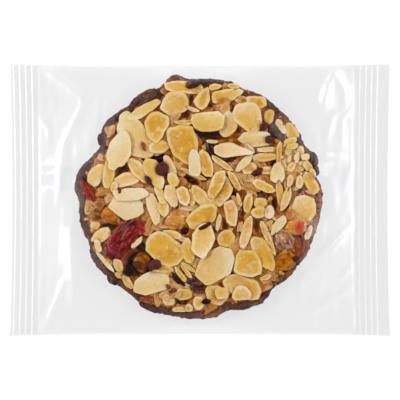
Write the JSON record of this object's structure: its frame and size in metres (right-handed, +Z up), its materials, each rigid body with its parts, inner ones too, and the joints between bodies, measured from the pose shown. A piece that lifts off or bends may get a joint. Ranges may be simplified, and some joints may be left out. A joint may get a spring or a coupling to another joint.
{
  "type": "wrapped florentine cookie",
  "caption": "Round almond florentine with a wavy dark chocolate rim, fruit and chocolate beads, sealed in a clear flat flow-wrap packet with crimped ends.",
  "frame": {"origin": "middle of the packet's outline, on the surface that the packet lies on", "axes": "+X along the packet from one end seal to the other, +Y across it towards a side fold, +Z up out of the almond side"},
  "size_m": [0.14, 0.1, 0.0092],
  "materials": {
    "clear_film": "clear, glossy, thin",
    "dark_chocolate": "satin, slightly bloomed",
    "caramel": "glossy",
    "toasted_almond": "satin with a thin caramel glaze",
    "dried_fruit": "wrinkled, sticky gloss"
  },
  "bodies": {
    "root": {"sealed_packet": "clear_film"}
  },
  "joints": []
}
